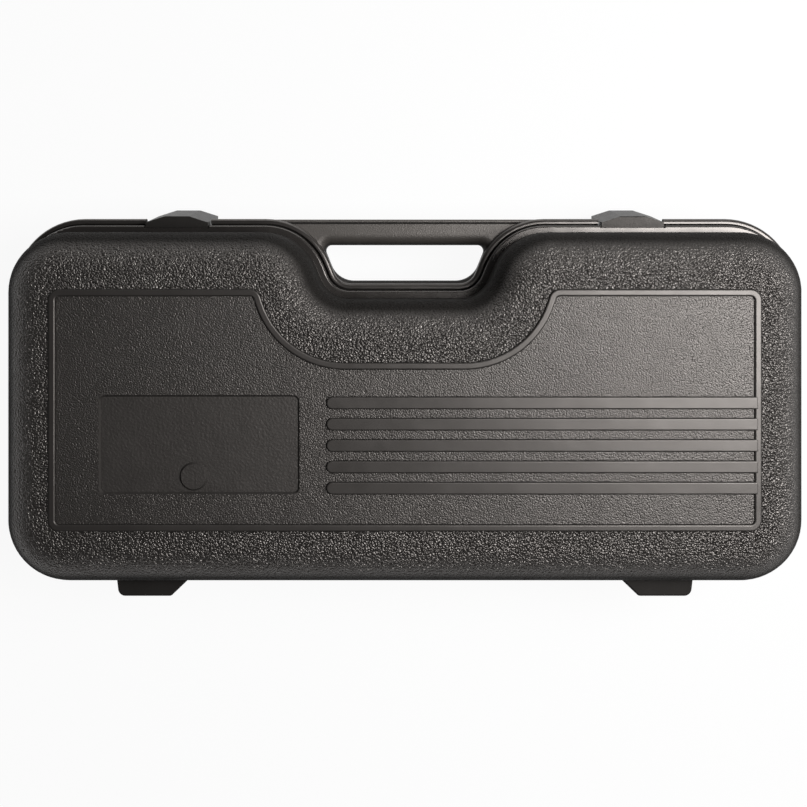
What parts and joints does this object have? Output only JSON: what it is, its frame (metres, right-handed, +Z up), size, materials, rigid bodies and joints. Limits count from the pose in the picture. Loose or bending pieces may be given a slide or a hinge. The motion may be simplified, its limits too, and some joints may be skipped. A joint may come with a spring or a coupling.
{
  "type": "microphone case",
  "caption": "Hard moulded carrying case with rounded edges, a lid hinged along the back, snap latches, a grip bar across a hand recess, feet and a cut foam lining.",
  "frame": {"origin": "on the flat face that the case lies on, under the middle of the case body's length and width", "axes": "+X along the length, to the right of someone who faces the handle; -Y towards the handle and latches; +Z up, from the base shell to the lid"},
  "size_m": [0.5426, 0.2593, 0.1231],
  "materials": {
    "shell_plastic": "moulded pebble grain, black",
    "smooth_plastic": "smooth satin, black",
    "foot_plastic": "smooth satin, black",
    "pin_steel": "drawn rod",
    "screw_steel": "zinc plated",
    "foam": "open-cell polyurethane foam, charcoal"
  },
  "bodies": {
    "base": {"base_shell": "shell_plastic", "handle": "smooth_plastic", "base_foot_left": "foot_plastic", "base_foot_right": "foot_plastic", "base_foot_screws": "screw_steel", "latch_pin_left": "pin_steel", "latch_pin_right": "pin_steel", "hinge_pin_left": "pin_steel", "hinge_pin_right": "pin_steel", "base_foam": "foam", "base_foam_floor": "foam"},
    "lid": {"lid_shell": "shell_plastic", "lid_foot_left": "foot_plastic", "lid_foot_right": "foot_plastic", "lid_foot_screws": "screw_steel", "lid_foam": "foam", "lid_foam_backing": "foam"},
    "latch_left": {"latch_left": "smooth_plastic"},
    "latch_right": {"latch_right": "smooth_plastic"}
  },
  "joints": [
    {"name": "lid_hinge", "type": "hinge", "parent": "base", "child": "lid", "pos_m": [0, 0.1204, 0.0615], "axis": [-1, 0, 0], "range_deg": [0, 105]},
    {"name": "latch_left_pivot", "type": "hinge", "parent": "base", "child": "latch_left", "pos_m": [-0.157, -0.1233, 0.031], "axis": [1, 0, 0], "range_deg": [0, 95]},
    {"name": "latch_right_pivot", "type": "hinge", "parent": "base", "child": "latch_right", "pos_m": [0.157, -0.1233, 0.031], "axis": [1, 0, 0], "range_deg": [0, 95]}
  ]
}
